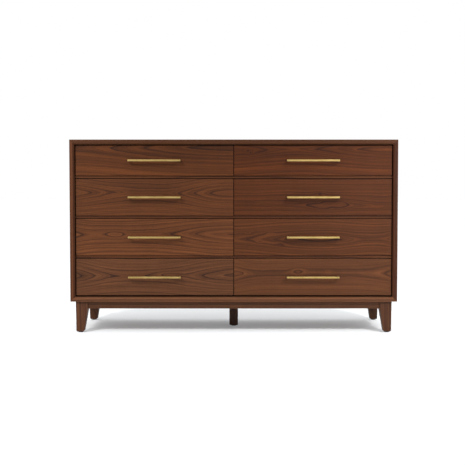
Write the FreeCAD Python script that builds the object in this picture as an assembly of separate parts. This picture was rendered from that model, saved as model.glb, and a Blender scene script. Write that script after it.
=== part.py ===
"""Walnut dresser with eight drawers in two columns, in millimetres.

A mitred case with a bevelled inner front edge stands on a separate leg frame. The drawer fronts sit back
inside the case, with a thin rail between the rows. Each drawer is a dovetailed box with a walnut front and a
brass pull, and runs on a pair of two-member ball-bearing slides.

The origin is on the floor, at the middle of the footprint. +X is to the right as seen from the front,
+Y points to the back and +Z points up. The drawers open towards -Y.
"""

import FreeCAD
import Part

import math
import os

OUT_FOLDER = "parts"

# ---- Driving dimensions -------------------------------------------------------------------------------------

overall_width = 1524.0
overall_height = 900.0
case_depth = 490.0

case_underside = 146.0          # height of the case above the floor
panel_thickness = 22.5
edge_bevel = 6.5                # 45 degree bevel round the inside of the case's front edge
outer_round = 1.2               # softened outer edges of the case

drawer_recess = 16.0            # drawer fronts behind the case's front edge
front_thickness = 20.0
front_gap_side = 3.0
front_gap_centre = 3.0          # between the left and the right column
front_gap_top = 4.0
front_gap_bottom = 6.0
front_round = 1.0
row_count = 4
top_front_height = 140.5        # the top row is the shallow one

rail_thickness = 9.0
rail_gap = 2.75                 # above and below each front rail
rail_setback = 3.0              # rails behind the drawer fronts
rail_depth = 40.0
rail_round = 0.8
housing_depth = 6.0             # how far rails and divider go into the panels

divider_thickness = 18.0
divider_clearance = 2.0         # behind the drawer fronts

back_thickness = 6.0
back_rabbet_width = 8.0
back_rabbet_depth = 10.0

box_wall = 12.0
box_length = 420.0
box_lift = 15.0                 # box above its front's lower edge
top_box_height = 100.0
box_height = 130.0
box_bottom_thickness = 6.0
box_bottom_lift = 12.0
box_groove = 6.0
box_round = 1.5
tail_pitch_target = 33.0        # spacing of the dovetails
tail_share = 0.64               # width of a tail at its end, as a share of the pitch
tail_slope = math.tan(math.radians(8.0))

pull_length = 244.0
pull_section = 8.5
pull_projection = 30.0
pull_round = 0.7
pull_screw_radius = 2.0
pull_screw_hole_radius = 2.25
pull_screw_in_post = 14.0
pan_head_radius = 4.0
pan_head_height = 2.4

slide_length = 400.0
slide_setback = 6.0             # front end of the slide behind the front of the box
slide_height = 35.0
slide_space = 12.7              # from the case's wall to the side of the box
slide_sheet = 1.2
slide_travel = 300.0
ball_radius = 1.95
ball_play = 0.05
balls_in_row = 3
ball_pitch = 32.0
cage_length = 90.0
cage_sheet = 0.7
cage_hole_radius = 2.1

screw_radius = 1.75
screw_head_radius = 3.2
slide_screw_bite = 8.0
slide_screw_inset = 60.0        # from each end of the slide
back_screw_length = 22.0
back_screw_head_depth = 2.0
base_screw_counterbore = 12.0
base_screw_bite = 14.0

leg_size = 56.0
leg_foot_size = 36.0
leg_outer_taper = 2.0           # how far the foot's outer faces draw in
leg_inset_side = 23.0           # from the case's side
leg_inset_front = 12.0          # from the case's front and back edges
leg_edge_round = 1.5
foot_chamfer = 4.0
centre_leg_size = 42.0
centre_leg_dowel_radius = 10.0
centre_leg_dowel_length = 24.0
glide_radius = 11.0
glide_height = 4.0
glide_round = 1.0
glide_pin_radius = 1.5
glide_pin_length = 14.0

base_rail_height = 34.0
base_rail_thickness = 20.0
base_rail_setback = 6.0         # behind the outer faces of the legs
tenon_thickness = 10.0
tenon_height = 22.0
tenon_length = 18.0
centre_rail_width = 40.0
centre_rail_tenon = 8.0

# ---- Derived places -----------------------------------------------------------------------------------------

half_width = overall_width / 2
pull_reach = pull_projection - drawer_recess        # how far the pulls stand in front of the case
case_front = (pull_reach - case_depth) / 2
case_back = case_front + case_depth
inner_half_width = half_width - panel_thickness
inner_bottom = case_underside + panel_thickness
inner_top = overall_height - panel_thickness

front_face = case_front + drawer_recess
front_back = front_face + front_thickness
front_inner_x = front_gap_centre / 2
front_outer_x = inner_half_width - front_gap_side
row_gap = rail_thickness + 2 * rail_gap
fronts_height = inner_top - front_gap_top - (inner_bottom + front_gap_bottom)
lower_front_height = (fronts_height - top_front_height - (row_count - 1) * row_gap) / (row_count - 1)

divider_front = front_back + divider_clearance
divider_back = case_back - back_rabbet_depth
rail_front = front_face + rail_setback
rail_back = rail_front + rail_depth

box_front = front_back
box_back = box_front + box_length
box_inner_x = divider_thickness / 2 + slide_space
box_outer_x = inner_half_width - slide_space

slide_front = box_front + slide_setback
slide_back = slide_front + slide_length
cage_back = slide_front + (slide_length - slide_travel) + slide_travel / 2 - ball_play
cage_front = cage_back - cage_length

leg_outer_x = half_width - leg_inset_side
leg_front = case_front + leg_inset_front
leg_back = case_back - leg_inset_front
base_rail_bottom = case_underside - base_rail_height


def row_span(row):
    """Lower and upper edge of the drawer fronts of a row, counted from 1 at the top."""
    top = inner_top - front_gap_top
    if row > 1:
        top -= top_front_height + row_gap + (row - 2) * (lower_front_height + row_gap)
    height = top_front_height if row == 1 else lower_front_height
    return top - height, top


# ---- Shape helpers ------------------------------------------------------------------------------------------


def vector(x, y, z):
    return FreeCAD.Vector(x, y, z)


def block(x0, x1, y0, y1, z0, z1):
    """A box between two corners."""
    return Part.makeBox(x1 - x0, y1 - y0, z1 - z0, vector(x0, y0, z0))


def outline_face(points):
    return Part.Face(Part.makePolygon(points + points[:1]))


def prism_along_x(points_yz, x0, x1):
    face = outline_face([vector(x0, y, z) for y, z in points_yz])
    return face.extrude(vector(x1 - x0, 0, 0))


def prism_along_y(points_xz, y0, y1):
    face = outline_face([vector(x, y0, z) for x, z in points_xz])
    return face.extrude(vector(0, y1 - y0, 0))


def cylinder_along(direction, x, y, z, radius, length):
    return Part.makeCylinder(radius, length, vector(x, y, z), direction)


def soften(shape, radius, wanted):
    """Rounds the edges whose middle point satisfies wanted(point)."""
    edges = [e for e in shape.Edges if wanted(e.CenterOfMass)]
    return shape.makeFillet(radius, edges)


def same(a, b):
    return abs(a - b) < 1e-6


def cut_all(shape, tools):
    return shape.cut(Part.makeCompound(tools)) if tools else shape


def mirrored(shape):
    """The same piece on the other side of the dresser."""
    return shape.mirror(vector(0, 0, 0), vector(1, 0, 0))


def write_node(name, shapes):
    """Writes one sub-part, which may be a group of separate solids."""
    solids = [solid for shape in shapes for solid in shape.Solids]
    for solid in solids:
        if not solid.isValid() or solid.Volume <= 0:
            raise ValueError(f"{name} holds a solid that isn't valid")
    group = solids[0] if len(solids) == 1 else Part.makeCompound(solids)
    group.exportStep(os.path.join(OUT_FOLDER, name + ".step"))


# ---- Screws -------------------------------------------------------------------------------------------------


def flat_screw(direction, x, y, z, head_depth, length):
    """A countersunk screw with the flat of its head at the given point, driven along direction."""
    head = Part.makeCone(screw_head_radius, screw_radius, head_depth, vector(x, y, z), direction)
    shank = cylinder_along(direction, x, y, z, screw_radius, length)
    return head.fuse(shank).removeSplitter()


def back_screw_places():
    """Where the back panel is screwed to the case and to the divider, as (x, z)."""
    edge_x = inner_half_width + back_rabbet_width / 2
    edge_low = inner_bottom - back_rabbet_width / 2
    edge_high = inner_top + back_rabbet_width / 2
    across = [-690.0 + 230.0 * n for n in range(7)]
    upright = [inner_bottom + (inner_top - inner_bottom) * share for share in (0.2, 0.5, 0.8)]
    places = [(x, z) for z in (edge_low, edge_high) for x in across]
    return places + [(x, z) for x in (-edge_x, 0.0, edge_x) for z in upright]


def base_screw_places():
    """Where the leg frame is screwed up into the case, as (x, y)."""
    front_y = leg_front + base_rail_setback + base_rail_thickness / 2
    back_y = leg_back - base_rail_setback - base_rail_thickness / 2
    side_x = leg_outer_x - base_rail_setback - base_rail_thickness / 2
    places = [(x, y) for y in (front_y, back_y) for x in (-600.0, -300.0, 300.0, 600.0)]
    places += [(x, (case_front + case_back) / 2) for x in (-side_x, side_x)]
    return places + [(0.0, y) for y in (front_y + 60.0, back_y - 60.0)]


def slide_screw_lengthways():
    return (slide_front + slide_screw_inset, slide_back - slide_screw_inset)


def make_back_screws():
    start = case_back - back_rabbet_depth + back_thickness
    return [
        flat_screw(vector(0, -1, 0), x, start, z, back_screw_head_depth, back_screw_length)
        for x, z in back_screw_places()
    ]


def make_base_screws():
    start = base_rail_bottom + base_screw_counterbore
    length = base_rail_height - base_screw_counterbore + base_screw_bite
    return [
        flat_screw(vector(0, 0, 1), x, y, start, back_screw_head_depth, length)
        for x, y in base_screw_places()
    ]


def make_case_slide_screws():
    """Screws of the fixed slide members, driven outwards into the case's walls."""
    screws = []
    for row in range(1, row_count + 1):
        z = slide_centre_height(row)
        for y in slide_screw_lengthways():
            length = slide_sheet + slide_screw_bite
            to_side = flat_screw(
                vector(1, 0, 0), inner_half_width - slide_sheet, y, z, slide_sheet, length
            )
            to_divider = flat_screw(
                vector(-1, 0, 0), divider_thickness / 2 + slide_sheet, y, z, slide_sheet, length
            )
            screws += [to_side, to_divider, mirrored(to_side), mirrored(to_divider)]
    return screws


# ---- Case ---------------------------------------------------------------------------------------------------


def case_outline(grow):
    """Corners of the case's inside, seen from the front and grown outwards."""
    x = inner_half_width + grow
    low = inner_bottom - grow
    high = inner_top + grow
    return [(-x, low), (x, low), (x, high), (-x, high)]


def make_bevel_opening():
    """The flared mouth that leaves the bevel on all four panels."""
    wires = []
    for grow, y in ((edge_bevel, case_front), (0.0, case_front + edge_bevel)):
        points = [vector(x, y, z) for x, z in case_outline(grow)]
        wires.append(Part.makePolygon(points + points[:1]))
    return Part.makeLoft(wires, True, True)


def make_back_rabbet():
    return prism_along_y(case_outline(back_rabbet_width), case_back - back_rabbet_depth, case_back)


def make_rails():
    """The three front rails, one below each row but the last, from the top down."""
    rails = []
    half_length = inner_half_width + housing_depth
    for row in range(1, row_count):
        top = row_span(row)[0] - rail_gap
        rail = block(-half_length, half_length, rail_front, rail_back, top - rail_thickness, top)
        rails.append(soften(rail, rail_round, lambda p: same(p.y, rail_front) and same(p.x, 0.0)))
    return rails


def make_divider(rails, slide_screws):
    half = divider_thickness / 2
    divider = block(
        -half, half, divider_front, divider_back, inner_bottom - housing_depth, inner_top + housing_depth
    )
    return cut_all(divider, rails + slide_screws)


def make_case_panels(rails, divider, screws):
    """Top, bottom and side panels, mitred at the corners and housed for the rails and the divider."""
    outer = case_outline(panel_thickness)
    inner = case_outline(0.0)
    names = ("bottom_panel", "right_side_panel", "top_panel", "left_side_panel")
    envelope = block(
        -half_width, half_width, case_front, case_back, case_underside, overall_height
    )
    envelope = envelope.makeFillet(outer_round, envelope.Edges)
    openings = [make_bevel_opening(), make_back_rabbet(), divider] + rails
    panels = {}
    for n, name in enumerate(names):
        after = (n + 1) % len(names)
        corners = [outer[n], outer[after], inner[after], inner[n]]
        panel = prism_along_y(corners, case_front, case_back).common(envelope)
        panels[name] = cut_all(panel, openings + screws)
    return panels


def make_back_panel(screws):
    start = case_back - back_rabbet_depth
    panel = prism_along_y(case_outline(back_rabbet_width), start, start + back_thickness)
    return cut_all(panel, screws)


# ---- Leg frame ----------------------------------------------------------------------------------------------


def tenon(x0, x1, y0, y1):
    middle = case_underside - base_rail_height / 2
    return block(x0, x1, y0, y1, middle - tenon_height / 2, middle + tenon_height / 2)


def make_front_base_rail(screws):
    """The rail between the front legs, with a tenon at each end and a housing for the centre rail."""
    y0 = leg_front + base_rail_setback
    y1 = y0 + base_rail_thickness
    half = leg_outer_x - leg_size
    rail = block(-half, half, y0, y1, base_rail_bottom, case_underside)
    rail = soften(rail, rail_round, lambda p: same(p.z, base_rail_bottom) and same(p.x, 0.0))
    middle = (y0 + y1) / 2
    ends = tenon(
        -half - tenon_length, half + tenon_length, middle - tenon_thickness / 2, middle + tenon_thickness / 2
    )
    return cut_all(rail.fuse(ends).removeSplitter(), [make_centre_rail_blank()] + screws)


def make_side_base_rail(screws):
    """The rail between the two right-hand legs."""
    x1 = leg_outer_x - base_rail_setback
    x0 = x1 - base_rail_thickness
    y0 = leg_front + leg_size
    y1 = leg_back - leg_size
    rail = block(x0, x1, y0, y1, base_rail_bottom, case_underside)
    centre = (y0 + y1) / 2
    rail = soften(rail, rail_round, lambda p: same(p.z, base_rail_bottom) and same(p.y, centre))
    middle = (x0 + x1) / 2
    ends = tenon(
        middle - tenon_thickness / 2, middle + tenon_thickness / 2, y0 - tenon_length, y1 + tenon_length
    )
    return cut_all(rail.fuse(ends).removeSplitter(), screws)


def make_centre_rail_blank():
    """The rail under the middle of the case, let into the front and rear rails."""
    half = centre_rail_width / 2
    y0 = leg_front + base_rail_setback + base_rail_thickness
    y1 = leg_back - base_rail_setback - base_rail_thickness
    rail = block(-half, half, y0, y1, base_rail_bottom, case_underside)
    stub = tenon(
        -tenon_thickness, tenon_thickness, y0 - centre_rail_tenon, y1 + centre_rail_tenon
    )
    return rail.fuse(stub).removeSplitter()


def make_front_right_leg(mates):
    """Tapered a little on its outer faces and, below the rails, more on its inner ones, with a chamfered foot."""
    x0 = leg_outer_x - leg_size
    y1 = leg_front + leg_size
    leg = block(x0, leg_outer_x, leg_front, y1, glide_height, case_underside)
    inner_taper = leg_size - leg_foot_size - leg_outer_taper
    for x, start, taper in ((x0, base_rail_bottom, inner_taper), (leg_outer_x, case_underside, -leg_outer_taper)):
        waste = [(x, start), (x, glide_height), (x + taper, glide_height)]
        leg = leg.cut(prism_along_y(waste, leg_front, y1))
    for y, start, taper in ((y1, base_rail_bottom, -inner_taper), (leg_front, case_underside, leg_outer_taper)):
        waste = [(y, start), (y, glide_height), (y + taper, glide_height)]
        leg = leg.cut(prism_along_x(waste, x0, leg_outer_x))
    foot_edges = [e for e in leg.Edges if same(e.CenterOfMass.z, glide_height)]
    leg = leg.makeChamfer(foot_chamfer, foot_edges)
    corner_z = glide_height + foot_chamfer + 1.0
    leg = soften(leg, leg_edge_round, lambda p: corner_z < p.z < case_underside - 1.0 and leg_upright(p))
    return cut_all(leg, mates)


def leg_upright(point):
    """True for the long edges of a leg, and false for the short ones across its faces."""
    x_middle = leg_outer_x - leg_size / 2
    y_middle = leg_front + leg_size / 2
    reach = leg_foot_size / 4
    return abs(point.x - x_middle) > reach and abs(point.y - y_middle) > reach


def make_centre_leg(mates):
    half = centre_leg_size / 2
    middle = (case_front + case_back) / 2
    leg = block(-half, half, middle - half, middle + half, glide_height, base_rail_bottom)
    foot_edges = [e for e in leg.Edges if same(e.CenterOfMass.z, glide_height)]
    leg = leg.makeChamfer(foot_chamfer, foot_edges)
    leg = soften(leg, leg_edge_round, lambda p: foot_chamfer + 1.0 < p.z - glide_height and upright_at(p, middle))
    dowel = cylinder_along(
        vector(0, 0, 1), 0, middle, base_rail_bottom, centre_leg_dowel_radius, centre_leg_dowel_length
    )
    return cut_all(leg.fuse(dowel).removeSplitter(), mates)


def upright_at(point, middle):
    half = centre_leg_size / 2
    return same(abs(point.x), half) and same(abs(point.y - middle), half)


def make_glide(x, y):
    """A nylon disc on a pin that is driven up into the foot."""
    disc = cylinder_along(vector(0, 0, 1), x, y, 0, glide_radius, glide_height)
    disc = disc.makeFillet(glide_round, [e for e in disc.Edges if same(e.CenterOfMass.z, 0.0)])
    pin = cylinder_along(vector(0, 0, 1), x, y, 0, glide_pin_radius, glide_height + glide_pin_length)
    return disc.fuse(pin).removeSplitter()


def glide_places():
    inset = leg_outer_taper + leg_foot_size / 2
    x = leg_outer_x - inset
    places = [(sx * x, y) for sx in (-1, 1) for y in (leg_front + inset, leg_back - inset)]
    return places + [(0.0, (case_front + case_back) / 2)]


# ---- Slides -------------------------------------------------------------------------------------------------


def slide_centre_height(row):
    low = row_span(row)[0] + box_lift
    height = top_box_height if row == 1 else box_height
    return low + height / 2


def slide_profile(row, kind):
    """Outline of a slide member in (distance from the case's wall, height), for one row."""
    sheet = slide_sheet
    half = slide_height / 2
    race = half - sheet                                             # outer race of the balls
    inner_race = race - 2 * (ball_radius + ball_play)
    lip_inner = (3.4, 3.4 + sheet)
    lip_outer = (9.2, 9.2 + sheet)
    if kind == "case":
        upper = [(0, half), (lip_outer[1], half), (lip_outer[1], half - 4.1)]
        upper += [(lip_outer[0], half - 4.1), (lip_outer[0], race), (sheet, race)]
    elif kind == "drawer":
        upper = [(slide_space, inner_race), (lip_inner[1], inner_race), (lip_inner[1], inner_race + 2.7)]
        upper += [(lip_inner[0], inner_race + 2.7), (lip_inner[0], inner_race - sheet)]
        upper += [(slide_space - sheet, inner_race - sheet)]
    else:
        top = race - 0.3
        upper = [(1.9, top), (8.8, top), (8.8, top - cage_sheet), (1.9 + cage_sheet, top - cage_sheet)]
    outline = upper + [(u, -w) for u, w in reversed(upper)]
    centre = slide_centre_height(row)
    return [(u, centre + w) for u, w in outline]


def ball_places(row):
    """Centres of the balls of one cage, in (distance from the case's wall, y, z)."""
    reach = slide_height / 2 - slide_sheet - ball_play - ball_radius
    middle = (cage_front + cage_back) / 2
    u = (3.4 + slide_sheet + 9.2) / 2
    first = middle - ball_pitch * (balls_in_row - 1) / 2
    centre = slide_centre_height(row)
    return [
        (u, first + n * ball_pitch, centre + side * reach)
        for side in (-1, 1)
        for n in range(balls_in_row)
    ]


def slide_bar(row, kind, y0, y1):
    """One slide member beside the right-hand wall of the right-hand bay."""
    points = [(inner_half_width - u, z) for u, z in slide_profile(row, kind)]
    return prism_along_y(points, y0, y1)


def both_walls(shape):
    """The piece at the side panel and its twin at the divider, for the right-hand column."""
    bay_middle = (inner_half_width + divider_thickness / 2) / 2
    return [shape, shape.mirror(vector(bay_middle, 0, 0), vector(1, 0, 0))]


def make_case_slides(row, screws):
    bar = slide_bar(row, "case", slide_front, slide_back)
    return [cut_all(piece, screws) for piece in both_walls(bar)]


def make_drawer_slides(row):
    """The two members that are screwed to the box, and their screws."""
    bar = slide_bar(row, "drawer", slide_front, slide_back)
    wall = box_outer_x
    screws = [
        flat_screw(
            vector(-1, 0, 0),
            wall + slide_sheet,
            y,
            slide_centre_height(row),
            slide_sheet,
            slide_sheet + slide_screw_bite,
        )
        for y in slide_screw_lengthways()
    ]
    bars = both_walls(cut_all(bar, screws))
    return bars, [twin for screw in screws for twin in both_walls(screw)]


def make_cages(row):
    """The two ball cages with their balls."""
    strip = slide_bar(row, "cage", cage_front, cage_back)
    balls = []
    holes = []
    for u, y, z in ball_places(row):
        x = inner_half_width - u
        balls.append(Part.makeSphere(ball_radius, vector(x, y, z)))
        up = vector(0, 0, 1)
        holes.append(cylinder_along(up, x, y, z - 2 * ball_radius, cage_hole_radius, 4 * ball_radius))
    strip = cut_all(strip, holes)
    return [twin for piece in [strip] + balls for twin in both_walls(piece)]


# ---- Drawers ------------------------------------------------------------------------------------------------


def tail_spans(low, high):
    """Lower and upper edge of each dovetail at its wide end."""
    count = round((high - low) / tail_pitch_target)
    pitch = (high - low) / count
    half = pitch * tail_share / 2
    middles = [low + pitch * (n + 0.5) for n in range(count)]
    return [(middle - half, middle + half) for middle in middles]


def side_outline(low, high):
    """A box side seen from the side: a board whose two ends are cut into dovetails."""
    slant = box_wall * tail_slope
    front_end = []
    back_end = []
    for z0, z1 in tail_spans(low, high):
        front_end += [(box_front + box_wall, z0 + slant), (box_front, z0)]
        front_end += [(box_front, z1), (box_front + box_wall, z1 - slant)]
        back_end += [(box_back - box_wall, z0 + slant), (box_back, z0)]
        back_end += [(box_back, z1), (box_back - box_wall, z1 - slant)]
    corners_low = [(box_back - box_wall, low), (box_front + box_wall, low)]
    corners_high = [(box_front + box_wall, high), (box_back - box_wall, high)]
    return corners_low + front_end + corners_high + list(reversed(back_end))


def tails(low, high):
    """The dovetails of all four corners, as solids to cut from the box's front and back."""
    slant = box_wall * tail_slope
    solids = []
    for z0, z1 in tail_spans(low, high):
        for end, base in ((box_front, box_front + box_wall), (box_back, box_back - box_wall)):
            points = [(end, z0), (end, z1), (base, z1 - slant), (base, z0 + slant)]
            solids.append(prism_along_x(points, box_inner_x, box_inner_x + box_wall))
            solids.append(prism_along_x(points, box_outer_x - box_wall, box_outer_x))
    return solids


def make_box(row, slide_screws, pull_holes):
    """Two sides, a front, a back and a bottom held in grooves."""
    low = row_span(row)[0] + box_lift
    high = low + (top_box_height if row == 1 else box_height)
    bottom_low = low + box_bottom_lift
    bottom = block(
        box_inner_x + box_wall - box_groove,
        box_outer_x - box_wall + box_groove,
        box_front + box_wall - box_groove,
        box_back - box_wall + box_groove,
        bottom_low,
        bottom_low + box_bottom_thickness,
    )
    outline = side_outline(low, high)
    sides = []
    for x0 in (box_inner_x, box_outer_x - box_wall):
        side = prism_along_x(outline, x0, x0 + box_wall)
        middle = (box_front + box_back) / 2
        side = soften(side, box_round, lambda p: same(p.z, high) and same(p.y, middle))
        sides.append(cut_all(side, [bottom] + slide_screws))
    ends = []
    for y0 in (box_front, box_back - box_wall):
        end = block(box_inner_x, box_outer_x, y0, y0 + box_wall, low, high)
        ends.append(cut_all(end, tails(low, high) + [bottom] + pull_holes))
    return sides + ends + [bottom]


def pull_screw_places(row):
    low, high = row_span(row)
    middle = (front_inner_x + front_outer_x) / 2
    reach = (pull_length - pull_section) / 2
    return [(middle + side * reach, (low + high) / 2) for side in (-1, 1)]


def make_front(row, pull_holes):
    low, high = row_span(row)
    front = block(front_inner_x, front_outer_x, front_face, front_back, low, high)
    front = soften(front, front_round, lambda p: same(p.y, front_face))
    return cut_all(front, pull_holes)


def make_pull_holes(row):
    along = vector(0, 1, 0)
    length = front_thickness + box_wall
    return [
        cylinder_along(along, x, front_face, z, pull_screw_hole_radius, length)
        for x, z in pull_screw_places(row)
    ]


def make_pull(row):
    """A square bar between two square posts, with the screws that hold it from inside the drawer."""
    half = pull_section / 2
    tip = front_face - pull_projection
    posts = []
    screws = []
    for x, z in pull_screw_places(row):
        post = block(x - half, x + half, tip, front_face, z - half, z + half)
        post = soften(post, pull_round, lambda p: not same(p.y, front_face))
        head_at = front_back + box_wall
        head = cylinder_along(vector(0, 1, 0), x, head_at, z, pan_head_radius, pan_head_height)
        length = front_thickness + box_wall + pull_screw_in_post
        shank = cylinder_along(vector(0, -1, 0), x, head_at, z, pull_screw_radius, length)
        screw = head.fuse(shank).removeSplitter()
        posts.append(post.cut(screw))
        screws.append(screw)
    (x0, z), (x1, _) = pull_screw_places(row)
    bar = block(x0 + half, x1 - half, tip, tip + pull_section, z - half, z + half)
    middle = (x0 + x1) / 2
    bar = soften(bar, pull_round, lambda p: same(p.x, middle))
    return posts + [bar] + screws


def write_drawer(row):
    """Writes the right-hand drawer of a row and its mirror image on the left."""
    bars, slide_screws = make_drawer_slides(row)
    pull_holes = make_pull_holes(row)
    groups = {
        "front": [make_front(row, pull_holes)],
        "box": make_box(row, slide_screws, pull_holes),
        "pull": make_pull(row),
        "slide_members": bars + slide_screws,
        "ball_cages": make_cages(row),
    }
    for kind, shapes in groups.items():
        write_node(f"drawer_right_{row}_{kind}", shapes)
        write_node(f"drawer_left_{row}_{kind}", [mirrored(shape) for shape in shapes])


# ---- Assembly -----------------------------------------------------------------------------------------------


def write_case():
    back_screws = make_back_screws()
    base_screws = make_base_screws()
    slide_screws = make_case_slide_screws()
    rails = make_rails()
    divider = make_divider(rails, slide_screws + back_screws)
    for name, panel in make_case_panels(rails, divider, back_screws + base_screws + slide_screws).items():
        write_node(name, [panel])
    write_node("back_panel", [make_back_panel(back_screws)])
    write_node("centre_divider", [divider])
    for name, rail in zip(("upper_front_rail", "middle_front_rail", "lower_front_rail"), rails):
        write_node(name, [rail])
    slides = []
    for row in range(1, row_count + 1):
        for piece in make_case_slides(row, slide_screws):
            slides += [piece, mirrored(piece)]
    write_node("case_slide_members", slides)
    write_node("case_screws", back_screws + base_screws + slide_screws)


def counterbores():
    """Clearance below the heads of the screws that hold the leg frame to the case."""
    up = vector(0, 0, 1)
    return [
        cylinder_along(up, x, y, base_rail_bottom, screw_head_radius + 0.8, base_screw_counterbore)
        for x, y in base_screw_places()
    ]


def turned_to_back(shape):
    """The same piece at the back of the leg frame."""
    return shape.mirror(vector(0, (case_front + case_back) / 2, 0), vector(0, 1, 0))


def write_leg_frame():
    screw_room = make_base_screws() + counterbores()
    front_rail = make_front_base_rail(screw_room)
    side_rail = make_side_base_rail(screw_room)
    glides = [make_glide(x, y) for x, y in glide_places()]
    leg = make_front_right_leg([front_rail, side_rail] + glides)
    centre_leg = make_centre_leg(glides)
    centre_rail = cut_all(make_centre_rail_blank(), [centre_leg] + screw_room)
    write_node("base_front_rail", [front_rail])
    write_node("base_rear_rail", [turned_to_back(front_rail)])
    write_node("base_cross_rails", [mirrored(side_rail), centre_rail, side_rail])
    write_node("front_right_leg", [leg])
    write_node("front_left_leg", [mirrored(leg)])
    write_node("rear_right_leg", [turned_to_back(leg)])
    write_node("rear_left_leg", [turned_to_back(mirrored(leg))])
    write_node("centre_leg", [centre_leg])
    write_node("leg_glides", glides)


os.makedirs(OUT_FOLDER, exist_ok=True)
write_case()
write_leg_frame()
for drawer_row in range(1, row_count + 1):
    write_drawer(drawer_row)
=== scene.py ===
import math

import bmesh
import bpy
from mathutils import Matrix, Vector


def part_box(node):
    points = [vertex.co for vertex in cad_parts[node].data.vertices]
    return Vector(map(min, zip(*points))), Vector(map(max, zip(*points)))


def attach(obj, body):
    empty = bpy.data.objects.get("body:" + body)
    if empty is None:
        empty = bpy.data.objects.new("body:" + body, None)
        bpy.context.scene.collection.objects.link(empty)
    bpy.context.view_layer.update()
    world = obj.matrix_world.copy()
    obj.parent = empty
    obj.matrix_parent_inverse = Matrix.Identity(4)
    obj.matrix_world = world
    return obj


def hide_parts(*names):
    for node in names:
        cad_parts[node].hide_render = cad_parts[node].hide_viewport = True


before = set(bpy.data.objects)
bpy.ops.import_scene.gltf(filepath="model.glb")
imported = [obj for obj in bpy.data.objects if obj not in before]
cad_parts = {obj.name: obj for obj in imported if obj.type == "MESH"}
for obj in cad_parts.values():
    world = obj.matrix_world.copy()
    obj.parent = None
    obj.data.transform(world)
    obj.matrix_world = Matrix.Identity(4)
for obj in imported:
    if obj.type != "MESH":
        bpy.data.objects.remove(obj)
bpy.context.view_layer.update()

# ---- The walnut case -------------------------------------------------------------------------------------
# Four panels of solid black walnut, each glued up from staves and mitred at the corners, so that the grain
# runs round the case like a belt. They are planed, sanded and sprayed with a satin clear coat.


class Signal:
    """What one socket gives. Adding, multiplying or raising signals adds the node that does it."""

    def __init__(self, tree, socket):
        self.tree = tree
        self.socket = socket

    def node(self, kind, sockets, output=0, **settings):
        made = self.tree.nodes.new(kind)
        for name, value in settings.items():
            setattr(made, name, value)
        for name, value in sockets.items():
            socket = made.inputs[name]
            if isinstance(value, Signal):
                self.tree.links.new(value.socket, socket)
            else:
                socket.default_value = (*value, 1.0) if socket.type == "RGBA" else value
        return Signal(self.tree, made.outputs[output])

    def maths(self, operation, *values):
        return self.node("ShaderNodeMath", dict(enumerate(values)), operation=operation)

    def __add__(self, other):
        return self.maths("ADD", self, other)

    def __sub__(self, other):
        return self.maths("SUBTRACT", self, other)

    def __rsub__(self, other):
        return self.maths("SUBTRACT", other, self)

    def __mul__(self, other):
        return self.maths("MULTIPLY", self, other)

    def __truediv__(self, other):
        return self.maths("DIVIDE", self, other)

    def __pow__(self, other):
        return self.maths("POWER", self, other)

    def __abs__(self):
        return self.maths("ABSOLUTE", self)

    __radd__ = __add__
    __rmul__ = __mul__

    def whole(self):
        return self.maths("FLOOR", self)

    def rest(self):
        return self.maths("FRACT", self)

    def hill(self, place, reach):
        """1 where the signal equals place, fading to 0 within about twice the reach."""
        away = (self - place) / reach
        return self.maths("EXPONENT", away * away * -1.0)

    def between(self, low, high):
        """0 below low and 1 above high, with a soft change from one to the other."""
        span = {"Value": self, "From Min": low, "From Max": high}
        return self.node("ShaderNodeMapRange", span, interpolation_type="SMOOTHSTEP")

    def chance(self):
        """A number from 0 to 1 that has nothing to do with its neighbours."""
        return self.node("ShaderNodeTexWhiteNoise", {"W": self}, noise_dimensions="1D")

    def drift(self):
        """A slow random change along one number, round 0.5."""
        return self.node("ShaderNodeTexNoise", {"W": self, "Detail": 1.0}, noise_dimensions="1D")

    def stretched(self, x, y, z):
        return self.node("ShaderNodeVectorMath", {0: self, 1: (x, y, z)}, operation="MULTIPLY")

    def moved(self, x, y, z):
        return self.node("ShaderNodeVectorMath", {0: self, 1: (x, y, z)}, operation="ADD")

    def cloud(self, detail=2.0, roughness=0.5):
        """Soft blotches about one unit across, round 0.5."""
        blotches = {"Vector": self, "Scale": 1.0, "Detail": detail, "Roughness": roughness}
        return self.node("ShaderNodeTexNoise", blotches)

    def axes(self):
        parts = self.node("ShaderNodeSeparateXYZ", {0: self}).socket.node
        return {name: Signal(self.tree, out) for name, out in zip("xyz", parts.outputs)}

    def with_axes(self, y, z):
        """A vector with this signal as X."""
        return self.node("ShaderNodeCombineXYZ", {0: self, 1: y, 2: z})

    def picks(self, low, high, blend="MIX"):
        """The low colour where this signal is 0 and the high one, or their product, where it is 1."""
        mix = {"Factor": self, 6: low, 7: high}
        return self.node("ShaderNodeMix", mix, output=2, data_type="RGBA", blend_type=blend)

    def times(self, shade):
        """This colour made lighter or darker."""
        grey = shade.with_axes(shade, shade)
        return self.node("ShaderNodeVectorMath", {0: self, 1: grey}, operation="MULTIPLY")

    def bump(self, depth, strength=1.0):
        return self.node("ShaderNodeBump", {"Height": self, "Distance": depth, "Strength": strength})


def new_finish(name, **constants):
    """An empty finish: its shader, and the place on the piece and the way the surface faces as signals."""
    finish = bpy.data.materials.new(name)
    finish.use_nodes = True
    tree = finish.node_tree
    shader = tree.nodes["Principled BSDF"]
    for socket, value in constants.items():
        shader.inputs[socket.replace("_", " ")].default_value = value
    coordinates = tree.nodes.new("ShaderNodeTexCoord").outputs
    return finish, shader, Signal(tree, coordinates["Object"]), Signal(tree, coordinates["Normal"])


def feed(shader, **signals):
    for socket, signal in signals.items():
        signal.tree.links.new(signal.socket, shader.inputs[socket.replace("_", " ")])


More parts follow.
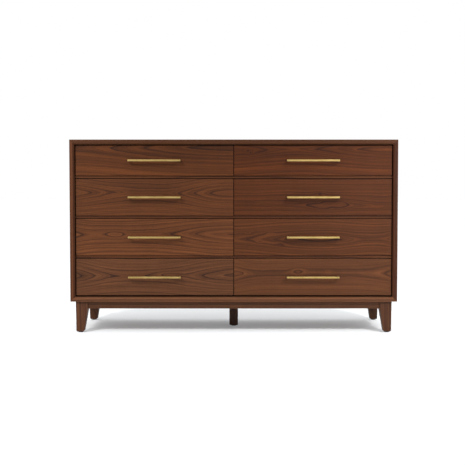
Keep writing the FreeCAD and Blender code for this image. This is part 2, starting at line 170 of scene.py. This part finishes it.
HEARTWOOD = (0.062, 0.0196, 0.0064)
LATE_WOOD = (0.0165, 0.0054, 0.0026)
WARM_STREAK = (0.100, 0.0328, 0.0110)
PORE = (0.40, 0.34, 0.30)
POINTED = 1.45                  # below 2, rings bend round the heart line in a point instead of an arc
WANDER, RIPPLE, JAG = 0.014, 0.0056, 0.0016     # how far rings stray: over a board, a hand and a finger
FLAT_CUT_REACH = 0.034          # near the heart line the saw meets the rings flat, and their lines are bold
YEARS = 3.7                     # faint year rings to one bold ring
COUNT_START = 8.0               # added to a ring's number, so that none is below zero
KNOT_PULL = 0.010               # how far the rings bend round a knot
STAVE_SLIP = 1.37               # how much further along its log each next stave was cut


def walnut(name, grain, face, heart, depth, swells=(), eyes=(), knots=(), pale=(), clouds=(), seed=0.0,
           rings=0.0150, first=0.0, staves=None, tone_and_painted_light=(1.0, 1.0, 1.0), painted_shade_faces=()):
    """Black walnut sawn from a log. The log's heart lies behind the face, and the growth rings that the face
    cuts make its figure: arches and ovals where the heart comes nearer or goes further away.

    grain    the axis along the grain, and face the axis square to the board's wide face
    heart    where the heart line lies across the face
    depth    how far behind the face the heart lies
    swells   (place along the grain, reach, added depth)
    eyes     (place along, place across, reach along, reach across, added depth)
    knots    (place along, place across, reach)
    pale     (distance from the heart, reach) of bands of pale rings
    clouds   (place along, place across, reach along, reach across, change of tone)
    rings    the step from one bold dark ring to the next
    first    the distance of one bold dark ring from the heart
    staves   (edge of one, width) where the board is glued up, and then each stave has its own heart line
    tone_and_painted_light   how much lighter or darker the board is, in red, green and blue: its own tone and, on some boards, painted light or shade
    painted_shade_faces   (axis, side, share) for faces darkened with painted shade, such as those inside a joint or a gap
    """
    finish, shader, place, facing = new_finish(
        name, Coat_Weight=0.02, Coat_Roughness=0.30, Specular_IOR_Level=0.13
    )
    axis = place.axes()
    u = axis[grain]
    w = axis[face]
    v = axis[next(letter for letter in "zyx" if letter not in (grain, face))]
    stave_tone = 1.0
    if staves:
        edge, width = staves
        stave = ((v - edge) / width).whole()
        luck = (stave + seed).chance()
        heart = (stave + 0.5) * width + edge + (luck - 0.5) * width * 0.9
        u = u + stave * STAVE_SLIP
        stave_tone = luck * 0.34 + 0.83

    # the rings stray a little from a true curve, and bend sooner across the grain than along it
    board = u.with_axes(v, w).moved(seed, seed * 0.7, 0.0)
    wander = board.stretched(2.1, 6.0, 6.0).cloud(detail=1.0) - 0.5
    ripple = board.stretched(9.0, 26.0, 26.0).cloud() - 0.5
    jag = board.stretched(60.0, 150.0, 150.0).cloud() - 0.5
    behind = w + depth
    for along, reach, added in swells:
        behind = behind + u.hill(along, reach) * added
    off_heart = v - heart + wander * 0.016
    radius = (abs(off_heart) ** POINTED + behind ** POINTED) ** (1 / POINTED)
    radius = radius + wander * WANDER + ripple * RIPPLE + jag * JAG
    for along, across, reach_along, reach_across, added in eyes:
        radius = radius + u.hill(along, reach_along) * v.hill(across, reach_across) * added
    dark_knot = u * 0.0
    for along, across, reach in knots:
        spot = u.hill(along, reach * 1.3) * v.hill(across, reach)
        radius = radius - u.hill(along, reach * 5.0) * v.hill(across, reach * 2.5) * KNOT_PULL
        dark_knot = dark_knot + spot

    # a ring starts pale and ends in a thin dark line; every few years one of them comes out bold
    ring = (radius - first) / rings + COUNT_START
    season = ring.rest()
    vigour = (ring.whole() + seed).chance()
    flat_cut = off_heart.hill(0.0, FLAT_CUT_REACH) * 0.58 + 0.42
    bold = season.between(0.68, 0.93) * (1.0 - season.between(0.955, 1.0)) * (vigour * 0.45 + 0.55) * flat_cut
    year = ring * YEARS
    season = year.rest()
    vigour = (year.whole() + seed).chance() ** 2.0
    faint = season.between(0.45, 0.88) * (1.0 - season.between(0.92, 1.0)) * (vigour * 0.45 + 0.05)
    line = bold.maths("MAXIMUM", bold, faint)

    # between the lines the wood changes in warm and dusky bands, and shows its fibres and open pores
    band = (ring * 0.38 + seed).drift()
    fine_band = (ring * 2.0 + seed).drift()
    warm = band.between(0.42, 0.66) * 0.60 + fine_band.between(0.45, 0.70) * 0.40
    for distance, reach in pale:
        warm = warm + radius.hill(distance, reach)
    dusky_patch = board.stretched(1.1, 9.0, 9.0).cloud().between(0.5, 0.74)
    dusk = (1.0 - band.between(0.30, 0.50)) * 0.3 + dusky_patch * 0.3
    streak = board.stretched(2.2, 150.0, 150.0).cloud(detail=3.0, roughness=0.7)
    fibre = board.stretched(26.0, 950.0, 950.0).cloud(roughness=0.6)
    pores = board.stretched(60.0, 2100.0, 2100.0).cloud(detail=1.0).between(0.62, 0.72)
    curl = board.stretched(14.0, 5.0, 5.0).cloud(detail=1.0)
    towards = facing.axes()
    end_grain = abs(towards[grain]).between(0.75, 0.95)

    # the stain shares scale the colours: each board's own tone and, on some boards, painted light or shade
    heartwood, late_wood, warm_streak = [
        tuple(primary * share for primary, share in zip(wood, tone_and_painted_light))
        for wood in (HEARTWOOD, LATE_WOOD, WARM_STREAK)
    ]
    colour = warm.maths("MINIMUM", warm, 1.15).picks(heartwood, warm_streak)
    colour = (dusk * 0.42).picks(colour, late_wood)
    colour = line.picks(colour, late_wood)
    colour = (pores * 0.75).picks(colour, PORE, "MULTIPLY")
    colour = dark_knot.maths("MINIMUM", dark_knot, 0.85).picks(colour, late_wood)
    shade = (streak * 0.90 + 0.55) * (fibre * 0.26 + 0.87) * (curl * 0.16 + 0.92)
    shade = shade * (1.0 - end_grain * 0.4) * stave_tone
    for along, across, reach_along, reach_across, change in clouds:
        shade = shade * (1.0 + u.hill(along, reach_along) * v.hill(across, reach_across) * change)
    # painted shade: faces inside joints, gaps and the case are darkened in the colour instead of by the lamps
    for axis_name, side, share in painted_shade_faces:
        shade = shade * (1.0 - (towards[axis_name] * side).between(0.72, 0.95) * share)
    height = fibre * 0.35 - pores - line * 0.25
    feed(shader, Base_Color=colour.times(shade), Roughness=fibre * 0.10 + line * 0.05 + 0.40,
         Normal=height.bump(0.00012, 0.55))
    return finish


def dress(node, finish):
    """Gives a piece of the frame its finish."""
    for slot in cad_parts[node].material_slots:
        slot.material = finish


case_low, case_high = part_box("left_side_panel")
staves = (case_low.y, (case_high.y - case_low.y) / 5)
glued_up = dict(staves=staves, first=case_low.y)
# Each board: grain and face axes, heart depth, seed, tone and painted light, and its inner face, which is
# darkened with painted shade.
case_boards = {
    "top_panel": ("x", "z", -0.83, 3.1, (0.95, 0.98, 0.98), ("z", -1.0, 0.75)),
    # The bottom panel is much lighter and bluer: painted light on its front edge, which faces up into the
    # light.
    "bottom_panel": ("x", "z", -0.08, 7.7, (1.80, 2.10, 2.55), ("z", 1.0, 0.75)),
    "left_side_panel": ("z", "x", 0.83, 1.9, (0.98, 0.94, 0.92), ("x", 1.0, 0.75)),
    "right_side_panel": ("z", "x", -0.69, 5.3, (0.80, 0.70, 0.66), ("x", -1.0, 0.75)),
}
for node, (grain, face, depth, seed, tone_and_painted_light, inside) in case_boards.items():
    dress(node, walnut("walnut_" + node, grain, face, 0.0, depth, seed=seed, tone_and_painted_light=tone_and_painted_light, painted_shade_faces=[inside],
                       **glued_up))

# ---- Rails, divider and back -----------------------------------------------------------------------------
# Three narrow walnut rails are housed in the sides and let into the divider, which stands in grooves in the
# top and the bottom. The back is a sheet of walnut-faced plywood, screwed into a rabbet.

# The rails' top and bottom faces, inside the gaps, are darkened with painted shade.
rail_gap_painted_shade = [("z", 1.0, 0.8), ("z", -1.0, 0.8)]
rail_shades = {"upper_front_rail": 0.90, "middle_front_rail": 0.86, "lower_front_rail": 1.0}
for n, (node, shade) in enumerate(rail_shades.items()):
    low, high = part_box(node)
    tone_and_painted_light = [share * shade for share in (1.0, 0.97, 0.90)]
    dress(node, walnut("walnut_" + node, "x", "y", low.z - 0.03, 0.28, seed=11.0 + 2.3 * n, tone_and_painted_light=tone_and_painted_light,
                       painted_shade_faces=rail_gap_painted_shade))
# The divider's front edge, seen through the centre gap, is darkened with painted shade.
dress("centre_divider", walnut("walnut_divider", "z", "x", 0.0, 0.07, seed=17.9, painted_shade_faces=[("y", -1.0, 0.9)],
                               **glued_up))
dress("back_panel", walnut("walnut_back", "x", "y", 0.5, -0.15, [(0.0, 0.5, 0.12)], seed=23.0))

# ---- Case screws -----------------------------------------------------------------------------------------
# Zinc-plated cross-head wood screws: through the back panel into the case, up through the leg frame, and
# through the fixed slide members into the case's walls.


def zinc(name, along):
    """Zinc plating on rolled steel, with faint lines along the rolling and a soft cloudy bloom."""
    finish, shader, place, _ = new_finish(name, Metallic=1.0)
    rolled = place.stretched(*(7.0 if letter == along else 1400.0 for letter in "xyz")).cloud(roughness=0.6)
    bloom = place.stretched(70.0, 70.0, 70.0).cloud(detail=3.0)
    colour = bloom.between(0.3, 0.7).picks((0.52, 0.53, 0.54), (0.60, 0.61, 0.60))
    feed(shader, Base_Color=colour, Roughness=bloom * 0.08 + rolled * 0.12 + 0.26,
         Normal=rolled.bump(0.00004, 0.6))
    return finish


def closed_solids(node):
    """The vertices of each loose solid in a node, as lists of points."""
    whole = bmesh.new()
    whole.from_mesh(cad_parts[node].data)
    bmesh.ops.remove_doubles(whole, verts=whole.verts, dist=1e-6)
    seen = set()
    solids = []
    for start in whole.verts:
        if start in seen:
            continue
        seen.add(start)
        solid = [start]
        for vert in solid:
            linked = [edge.other_vert(vert) for edge in vert.link_edges]
            fresh = [other for other in linked if other not in seen]
            seen.update(fresh)
            solid.extend(fresh)
        solids.append([vert.co.copy() for vert in solid])
    whole.free()
    return solids


def add_piece(name, bm, finish, body, nodes, ease=0.0):
    """Makes a piece of a bmesh, with its edges eased, that stands for nodes of the frame."""
    bmesh.ops.remove_doubles(bm, verts=bm.verts, dist=1e-6)
    bmesh.ops.recalc_face_normals(bm, faces=bm.faces)
    mesh = bpy.data.meshes.new(name)
    bm.to_mesh(mesh)
    bm.free()
    mesh.materials.append(finish)
    piece = bpy.data.objects.new(name, mesh)
    bpy.context.scene.collection.objects.link(piece)
    if ease:
        for polygon in mesh.polygons:
            polygon.use_smooth = True
        edges = piece.modifiers.new("eased_edges", "BEVEL")
        edges.width = ease
        edges.segments = 2
        edges.limit_method = "ANGLE"
        edges.angle_limit = math.radians(30)
        edges.harden_normals = True
    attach(piece, body)
    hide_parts(*nodes)


def add_screw(bm, head, direction, profile, recess):
    """A screw with its head's middle at a point. The profile is (radius, depth) from the flat of the head to
    the tip, and the recess is half the width of a cross that narrows downwards."""
    turn = direction.to_track_quat("Z", "Y")
    place = lambda x, y, depth: bm.verts.new(head + turn @ Vector((x, y, depth)))
    around = 20
    angles = [2 * math.pi * n / around for n in range(around)]
    rings = [[place(r * math.cos(a), r * math.sin(a), depth) for a in angles] for r, depth in profile]
    for ring, deeper in zip(rings, rings[1:]):
        for n in range(around):
            after = (n + 1) % around
            bm.faces.new((ring[n], ring[after], deeper[after], deeper[n]))
    bm.faces.new(rings[-1])
    arm, half_arm = recess, recess * 0.27
    quarter = [(arm, half_arm), (half_arm, half_arm), (half_arm, arm)]
    corners = []
    for _ in range(4):
        corners += quarter
        quarter = [(-y, x) for x, y in quarter]
    top = profile[0][1]
    narrowed, deep = 0.35, recess * 0.8
    mouth = [place(x, y, top) for x, y in corners]
    floor_ring = [place(x * narrowed, y * narrowed, top + deep) for x, y in corners]
    for n in range(len(corners)):
        after = (n + 1) % len(corners)
        bm.faces.new((mouth[n], mouth[after], floor_ring[after], floor_ring[n]))
    bm.faces.new(floor_ring)
    loops = [rings[0], mouth]
    edges = [bm.edges.get((loop[n - 1], loop[n])) for loop in loops for n in range(len(loop))]
    bmesh.ops.triangle_fill(bm, edges=edges, use_beauty=True)


shank_radius = 0.00175
flat_head_depth = 0.0016
flat_recess_share = 0.62


def flat_profile(length, head_radius):
    """A countersunk head, a straight shank and a blunt point."""
    point_starts = length - 2 * shank_radius
    point_radius = shank_radius * 0.2
    return [(head_radius, 0.0), (shank_radius, flat_head_depth), (shank_radius, point_starts),
            (point_radius, length)]


screw_zinc = zinc("zinc_screws", "y")
screws = bmesh.new()
for points in closed_solids("case_screws"):
    low = Vector([min(p[axis] for p in points) for axis in range(3)])
    high = Vector([max(p[axis] for p in points) for axis in range(3)])
    size = high - low
    long_axis = max(range(3), key=lambda axis: size[axis])
    middle = (low + high) / 2
    widest = max(size[axis] for axis in range(3) if axis != long_axis) / 2
    rim_point = max(points, key=lambda p: (p - middle).length - abs(p[long_axis] - middle[long_axis]))
    direction = Vector((0, 0, 0))
    direction[long_axis] = 1.0 if rim_point[long_axis] < middle[long_axis] else -1.0
    head = middle - direction * size[long_axis] / 2
    profile = flat_profile(size[long_axis], widest)
    add_screw(screws, head, direction, profile, widest * flat_recess_share)
add_piece("case_cross_head_screws", screws, screw_zinc, "case", ["case_screws"])

# ---- Slides ----------------------------------------------------------------------------------------------
# Side-mounted ball-bearing slides, roll-formed from zinc-plated steel: a channel on the case's wall, a
# narrower one on the drawer, and between them a cage with polished balls.

slide_zinc = zinc("zinc_slides", "y")
cage_zinc = zinc("zinc_ball_cages", "y")
dress("case_slide_members", slide_zinc)
drawers = [(side, row) for side in ("left", "right") for row in (1, 2, 3, 4)]
for side, row in drawers:
    dress(f"drawer_{side}_{row}_slide_members", slide_zinc)
    dress(f"drawer_{side}_{row}_ball_cages", cage_zinc)

# ---- Drawer fronts ---------------------------------------------------------------------------------------
# Each front is one flat-sawn walnut board, so it shows the full cathedral figure. The eight boards come from
# different logs; their edges are eased and they are sprayed on both sides.

front_figures = {
    ("left", 1): dict(
        heart=0.058, depth=0.038, swells=[(-0.78, 0.42, 0.052)], pale=[(0.147, 0.007)],
        rings=0.0165, first=0.062,
        clouds=[(-0.20, 0.035, 0.26, 0.055, -0.24), (-0.60, -0.055, 0.30, 0.03, 0.16)], seed=2.0,
    ),
    ("left", 2): dict(
        heart=0.021, depth=0.062, swells=[(-0.80, 0.20, -0.036), (-0.02, 0.20, -0.050)],
        rings=0.0140, first=0.0387,
        clouds=[(-0.37, 0.03, 0.14, 0.04, -0.20), (-0.45, -0.06, 0.35, 0.025, 0.14)], seed=4.0,
    ),
    ("left", 3): dict(
        heart=0.013, depth=0.062, swells=[(-0.82, 0.12, -0.024), (0.0, 0.22, -0.040)],
        rings=0.0155, first=0.0545,
        eyes=[(-0.552, 0.013, 0.046, 0.017, -0.017)], clouds=[(-0.5, -0.06, 0.4, 0.03, 0.12)], seed=6.0,
    ),
    ("left", 4): dict(
        heart=0.009, depth=0.066, swells=[(-0.80, 0.16, -0.040), (0.02, 0.26, -0.044)],
        rings=0.0130, first=0.0395,
        eyes=[(-0.305, 0.012, 0.060, 0.014, -0.014)],
        clouds=[(-0.70, 0.0, 0.06, 0.03, -0.18), (-0.05, 0.0, 0.10, 0.04, -0.14)], seed=8.0,
    ),
    ("right", 1): dict(
        heart=0.050, depth=0.052, swells=[(0.292, 0.28, 0.028)], pale=[(0.127, 0.004)],
        clouds=[(0.10, 0.02, 0.16, 0.06, -0.20), (0.36, 0.03, 0.20, 0.04, -0.12)], seed=10.0,
        knots=[(0.067, 0.045, 0.0035), (0.078, 0.037, 0.0028)],
    ),
    ("right", 2): dict(
        heart=-0.037, depth=0.085, first=0.0805,
        eyes=[(0.442, -0.037, 0.085, 0.027, -0.017), (0.395, -0.026, 0.022, 0.008, 0.006),
              (0.455, -0.045, 0.026, 0.009, 0.007), (0.505, -0.028, 0.020, 0.008, -0.006)],
        knots=[(0.402, 0.015, 0.0055)], seed=12.0,
        clouds=[(0.36, 0.0, 0.17, 0.035, -0.20), (0.06, -0.03, 0.06, 0.03, -0.16)],
    ),
    ("right", 3): dict(
        heart=-0.010, depth=0.075, swells=[(0.40, 0.26, -0.032), (0.86, 0.14, -0.038)],
        rings=0.0120, first=0.0710,
        eyes=[(0.07, 0.016, 0.020, 0.007, 0.006), (0.12, -0.022, 0.018, 0.006, -0.006),
              (0.17, 0.020, 0.022, 0.007, -0.006), (0.22, -0.030, 0.026, 0.008, 0.006)],
        clouds=[(0.25, -0.01, 0.20, 0.04, -0.14)], seed=14.0,
    ),
    ("right", 4): dict(
        heart=0.018, depth=0.070, swells=[(-0.04, 0.10, -0.020), (0.88, 0.17, -0.036)],
        eyes=[(0.022, 0.018, 0.022, 0.009, -0.009), (0.300, 0.028, 0.034, 0.016, -0.015),
              (0.442, 0.023, 0.016, 0.009, -0.007)],
        seed=16.0,
    ),
}
# Tone of each front: partly the board's own, partly painted light: the rows grow lighter and greyer downwards
# for the floor's bounce, and the top row is darker for the shade under the top.
front_tones_and_painted_light = {
    "left": ((1.04, 0.91, 0.60), (1.12, 1.07, 0.88), (1.31, 1.30, 1.16), (1.25, 1.40, 1.58)),
    "right": ((0.99, 0.75, 0.34), (0.95, 0.77, 0.43), (1.06, 0.95, 0.68), (1.27, 1.31, 1.23)),
}
# The fronts' end and edge faces, which stand in the gaps, are darkened with painted shade.
front_edge_painted_shade = [("x", 1.0, 0.65), ("x", -1.0, 0.65), ("z", 1.0, 0.55), ("z", -1.0, 0.55)]
for side, row in drawers:
    node = f"drawer_{side}_{row}_front"
    low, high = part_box(node)
    middle = (low.z + high.z) / 2
    figure = dict(front_figures[side, row])
    figure["heart"] += middle
    figure["depth"] -= low.y
    for feature in ("eyes", "knots", "clouds"):
        places = figure.get(feature, ())
        figure[feature] = [(along, across + middle, *more) for along, across, *more in places]
    tone_and_painted_light = front_tones_and_painted_light[side][row - 1]
    dress(node, walnut(f"walnut_front_{side}_{row}", "x", "y", tone_and_painted_light=tone_and_painted_light, painted_shade_faces=front_edge_painted_shade,
                       **figure))

# ---- Drawer boxes ----------------------------------------------------------------------------------------
# A box of lacquered maple: two sides with dovetail tails, a front and a back with the pins, and a birch
# plywood bottom let into a groove. The box is screwed to the back of its walnut front.

box_wall = 0.012
box_bottom_lift = 0.012
box_bottom_thickness = 0.006
box_groove = 0.006
box_ease = 0.0005
tail_pitch_target = 0.033
tail_share = 0.64
tail_slant = box_wall * math.tan(math.radians(8.0))


def maple(name, grain, pale, deep):
    """Lacquered maple: pale, with soft growth lines, short rays and darker end grain."""
    finish, shader, place, facing = new_finish(name, Coat_Weight=0.12, Coat_Roughness=0.25)
    stretch = lambda long, across: place.stretched(*(long if letter == grain else across for letter in "xyz"))
    growth = stretch(1.6, 42.0).cloud(detail=3.0, roughness=0.55)
    flow = stretch(5.0, 260.0).cloud(roughness=0.6)
    flecks = stretch(140.0, 1500.0).cloud(detail=1.0).between(0.62, 0.74)
    end_grain = abs(facing.axes()[grain]).between(0.75, 0.95)
    colour = growth.between(0.34, 0.68).picks(pale, deep)
    colour = (flecks * 0.35).picks(colour, (0.62, 0.50, 0.38), "MULTIPLY")
    colour = (end_grain * 0.55).picks(colour, (0.50, 0.36, 0.24), "MULTIPLY")
    feed(shader, Base_Color=colour.times(flow * 0.22 + 0.89), Roughness=flow * 0.12 + 0.34,
         Normal=(flow * 0.4 - flecks).bump(0.00006, 0.5))
    return finish


maple_sides = maple("maple_sides", "y", (0.60, 0.40, 0.215), (0.47, 0.285, 0.135))
maple_ends = maple("maple_ends", "x", (0.58, 0.385, 0.205), (0.46, 0.275, 0.130))
birch_ply = maple("birch_plywood", "x", (0.66, 0.48, 0.29), (0.55, 0.37, 0.20))


def tail_spans(low, high):
    """Lower and upper edge of each dovetail at its wide end."""
    count = round((high - low) / tail_pitch_target)
    pitch = (high - low) / count
    half = pitch * tail_share / 2
    return [(low + pitch * (n + 0.5) - half, low + pitch * (n + 0.5) + half) for n in range(count)]


def side_board(x0, y0, y1, low, high):
    """A side, whose two ends are cut into tails."""
    ends = {y0: [], y1: []}
    for tail_low, tail_high in tail_spans(low, high):
        for y, inward in ((y0, box_wall), (y1, -box_wall)):
            ends[y] += [(y + inward, tail_low + tail_slant), (y, tail_low)]
            ends[y] += [(y, tail_high), (y + inward, tail_high - tail_slant)]
    outline = [(y1 - box_wall, low), (y0 + box_wall, low)] + ends[y0]
    outline += [(y0 + box_wall, high), (y1 - box_wall, high)] + ends[y1][::-1]
    board = bmesh.new()
    near, far = [[board.verts.new((x, y, z)) for y, z in outline] for x in (x0, x0 + box_wall)]
    board.faces.new(near)
    board.faces.new(far)
    for n in range(len(outline)):
        board.faces.new((near[n - 1], near[n], far[n], far[n - 1]))
    return board


def end_board(x0, x1, y_wide, y_narrow, low, high):
    """The front or the back of the box. The tails are wide at y_wide, and the pins between them reach x0
    and x1."""
    cuts = [low, low]
    for tail_low, tail_high in tail_spans(low, high):
        cuts += [tail_low, tail_high]
    cuts = cuts[1:] + [high]
    slants = [z + tail_slant * (1 if n % 2 == 0 else -1) for n, z in enumerate(cuts[1:-1])]
    inner = [low] + slants + [high]
    stops = (x0, x0 + box_wall, x1 - box_wall, x1)
    board = bmesh.new()
    quad = lambda *points: board.faces.new([board.verts.new(point) for point in points])
    last = len(cuts) - 2
    for n in range(last + 1):
        a, b, c, d = cuts[n], cuts[n + 1], inner[n + 1], inner[n]
        is_pin = n % 2 == 0
        for m in (0, 1, 2) if is_pin else (1,):
            u0, u1 = stops[m], stops[m + 1]
            in_pin = m != 1
            quad((u0, y_wide, a), (u1, y_wide, a), (u1, y_wide, b), (u0, y_wide, b))
            quad((u0, y_narrow, d), (u1, y_narrow, d), (u1, y_narrow, c), (u0, y_narrow, c))
            if in_pin or n == 0:
                quad((u0, y_wide, a), (u1, y_wide, a), (u1, y_narrow, d), (u0, y_narrow, d))
            if in_pin or n == last:
                quad((u0, y_wide, b), (u1, y_wide, b), (u1, y_narrow, c), (u0, y_narrow, c))
        for u in (stops[0], stops[3]) if is_pin else (stops[1], stops[2]):
            quad((u, y_wide, a), (u, y_wide, b), (u, y_narrow, c), (u, y_narrow, d))
    bmesh.ops.remove_doubles(board, verts=board.verts, dist=1e-6)
    bmesh.ops.dissolve_limit(board, angle_limit=0.01, verts=board.verts, edges=board.edges)
    return board


def block(x0, x1, y0, y1, z0, z1):
    """A board or a bar with square edges, which add_piece eases."""
    solid = bmesh.new()
    bmesh.ops.create_cube(solid, size=1.0)
    corner = Vector((x0, y0, z0))
    size = Vector((x1 - x0, y1 - y0, z1 - z0))
    for vert in solid.verts:
        vert.co = corner + (vert.co + Vector((0.5, 0.5, 0.5))) * size
    return solid


for side, row in drawers:
    name = f"drawer_{side}_{row}"
    low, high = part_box(name + "_box")
    boards = {
        "box_left_side": (side_board(low.x, low.y, high.y, low.z, high.z), maple_sides),
        "box_right_side": (side_board(high.x - box_wall, low.y, high.y, low.z, high.z), maple_sides),
        "box_front": (end_board(low.x, high.x, low.y, low.y + box_wall, low.z, high.z), maple_ends),
        "box_back": (end_board(low.x, high.x, high.y, high.y - box_wall, low.z, high.z), maple_ends),
    }
    let_in = box_wall - box_groove
    bottom = low.z + box_bottom_lift
    sheet = block(low.x + let_in, high.x - let_in, low.y + let_in, high.y - let_in,
                  bottom, bottom + box_bottom_thickness)
    boards["box_bottom"] = (sheet, birch_ply)
    for kind, (board, finish) in boards.items():
        add_piece(f"{name}_{kind}", board, finish, name, [name + "_box"], box_ease)

# ---- Pulls -----------------------------------------------------------------------------------------------
# A square brass bar between two square posts, brushed along its length and lacquered. Two pan-head screws
# hold it from inside the drawer.

pull_section = 0.0085
pull_ease = 0.0007
pull_screw_length = 0.046
pan_head_radius = 0.004
pan_head_height = 0.0024
pan_head = [(0.78, 0.0), (0.92, 0.10), (1.0, 0.35), (1.0, 1.0), (0.5, 1.0)]     # shares of radius and height
pull_shank_share = 0.5
pull_recess_share = 0.55


def brushed_brass(name, along):
    """Satin brass with brushing marks along one axis and a soft cloudy bloom."""
    finish, shader, place, _ = new_finish(name, Metallic=1.0)
    brushing = place.stretched(*(16.0 if letter == along else 2600.0 for letter in "xyz"))
    brushing = brushing.cloud(roughness=0.7)
    bloom = place.stretched(26.0, 60.0, 60.0).cloud(detail=3.0)
    colour = bloom.between(0.3, 0.7).picks((0.40, 0.275, 0.094), (0.48, 0.340, 0.127))
    feed(shader, Base_Color=colour.times(brushing * 0.16 + 0.92),
         Roughness=brushing * 0.20 + bloom * 0.08 + 0.26, Normal=brushing.bump(0.00003, 0.5))
    return finish


brass_bar = brushed_brass("brushed_brass_bar", "x")
brass_post = brushed_brass("brushed_brass_posts", "y")
for side, row in drawers:
    name = f"drawer_{side}_{row}"
    low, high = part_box(name + "_pull")
    front_low, front_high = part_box(name + "_front")
    middle = (front_low.z + front_high.z) / 2
    half = pull_section / 2
    left_post, right_post = low.x, high.x - pull_section
    bar = block(left_post + pull_section, right_post, low.y, low.y + pull_section,
                middle - half, middle + half)
    add_piece(name + "_pull_bar", bar, brass_bar, name, [name + "_pull"], pull_ease)
    screws = bmesh.new()
    for end, x in (("left", left_post), ("right", right_post)):
        post = block(x, x + pull_section, low.y, front_low.y, middle - half, middle + half)
        add_piece(f"{name}_pull_{end}_post", post, brass_post, name, [name + "_pull"],
                  pull_ease)
        head = Vector((x + half, high.y, middle))
        profile = [(pan_head_radius * r, pan_head_height * depth) for r, depth in pan_head]
        profile.append((pan_head_radius * pull_shank_share, pull_screw_length))
        add_screw(screws, head, Vector((0, -1, 0)), profile, pan_head_radius * pull_recess_share)
    add_piece(name + "_pull_screws", screws, screw_zinc, name, [name + "_pull"])

# ---- Leg frame -------------------------------------------------------------------------------------------
# Solid walnut rails with tenons in four tapered legs, and a centre leg on a dowel. A dark nylon glide is
# driven into each foot.

rail_stain = (1.06, 1.22, 1.48)
for n, node in enumerate(("base_front_rail", "base_rear_rail")):
    low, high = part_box(node)
    dress(node, walnut("walnut_" + node, "x", "y", high.z + 0.03, 0.30, seed=31.0 + 2.3 * n,
                       tone_and_painted_light=rail_stain))
dress("base_cross_rails", walnut("walnut_cross_rails", "y", "x", 0.10, 0.9, seed=37.0, tone_and_painted_light=rail_stain))
# Leg tones: the rear legs and the centre leg, in the shade under the case, are made darker with painted
# shade; the rest is each leg's own tone.
leg_tones_and_painted_shade = {"front_left_leg": 1.03, "front_right_leg": 0.92, "rear_left_leg": 0.95, "rear_right_leg": 0.60,
              "centre_leg": 0.62}
for n, (node, shade) in enumerate(leg_tones_and_painted_shade.items()):
    low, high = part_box(node)
    tone_and_painted_light = [share * shade for share in (1.0, 1.12, 1.40)]
    dress(node, walnut("walnut_" + node, "z", "y", high.x + 0.02, 0.30, seed=41.0 + 2.3 * n, tone_and_painted_light=tone_and_painted_light))

nylon, nylon_shader, nylon_place, _ = new_finish("dark_nylon")
scuff = nylon_place.stretched(240.0, 240.0, 240.0).cloud(detail=4.0, roughness=0.7)
feed(nylon_shader, Base_Color=scuff.between(0.45, 0.8).picks((0.016, 0.014, 0.013), (0.050, 0.046, 0.042)),
     Roughness=scuff * 0.3 + 0.38, Normal=scuff.bump(0.00008, 0.5))
dress("leg_glides", nylon)

# ---- Room ------------------------------------------------------------------------------------------------
# A seamless white floor, which glows a little so that it stays white. Two softboxes hang in front, one at
# each side, a weak one stands low on the right, and the ceiling gives the rest.

half_floor = 60.0
floor_mesh = bpy.data.meshes.new("floor")
corners = [(x * half_floor, y * half_floor, 0.0) for x, y in ((-1, -1), (1, -1), (1, 1), (-1, 1))]
floor_mesh.from_pydata(corners, [], [(0, 1, 2, 3)])
floor = bpy.data.objects.new("floor", floor_mesh)
bpy.context.scene.collection.objects.link(floor)
floor_finish = new_finish("floor_white", Base_Color=(0.82, 0.83, 0.84, 1.0), Roughness=0.8,
                          Emission_Color=(0.93, 1.0, 1.04, 1.0), Emission_Strength=0.19)[0]
floor_mesh.materials.append(floor_finish)

ceiling_light = 1.20
horizon_light = 0.42
world = bpy.context.scene.world or bpy.data.worlds.new("studio")
bpy.context.scene.world = world
world.use_nodes = True
sky = world.node_tree
seen_directly = Signal(sky, sky.nodes.new("ShaderNodeLightPath").outputs["Is Camera Ray"])
upwards = Signal(sky, sky.nodes.new("ShaderNodeTexCoord").outputs["Generated"]).axes()["z"]
studio = upwards.between(0.15, 0.70) * (ceiling_light - horizon_light) + horizon_light
strength = seen_directly + (1.0 - seen_directly) * studio
sky.nodes["Background"].inputs["Color"].default_value = (1.0, 1.0, 1.0, 1.0)
sky.links.new(strength.socket, sky.nodes["Background"].inputs["Strength"])


softbox_side = 0.7


def softbox(name, place, aim, power, spread):
    """A square area light that looks at a point, with its power in watts and its spread in degrees."""
    lamp = bpy.data.lights.new(name, "AREA")
    lamp.shape = "RECTANGLE"
    lamp.size = softbox_side
    lamp.size_y = softbox_side
    lamp.energy = power
    lamp.spread = math.radians(spread)
    box = bpy.data.objects.new(name, lamp)
    box.location = place
    box.rotation_euler = (Vector(aim) - Vector(place)).to_track_quat("-Z", "Y").to_euler()
    bpy.context.scene.collection.objects.link(box)


softbox("left_softbox", (-1.9, -2.4, 2.35), (-0.9, 0.0, 0.45), 8.6, 60.0)
softbox("right_softbox", (1.9, -2.4, 2.35), (0.9, 0.0, 0.45), 10.8, 60.0)
softbox("low_softbox", (1.3, -4.0, 0.6), (0.6, 0.0, 0.5), 0.6, 40.0)

# ---- Camera ----------------------------------------------------------------------------------------------
# A long lens straight in front of the dresser, a little above the middle of the case and turned down
# slightly, so that the top shows only as an edge.

camera_distance = 4.356         # from the case's front edge
camera_height = 0.663
camera_offset = -0.0058
camera_dip = math.radians(2.547)
focal_length = 72.63            # in mm, on a sensor 36 mm wide
lens = bpy.data.cameras.new("camera")
lens.lens = focal_length
lens.sensor_width = 36.0
camera = bpy.data.objects.new("camera", lens)
camera.location = (camera_offset, case_low.y - camera_distance, camera_height)
camera.rotation_euler = (math.pi / 2 - camera_dip, 0.0, 0.0)
bpy.context.scene.collection.objects.link(camera)
bpy.context.scene.camera = camera
bpy.context.scene.view_settings.view_transform = "Standard"
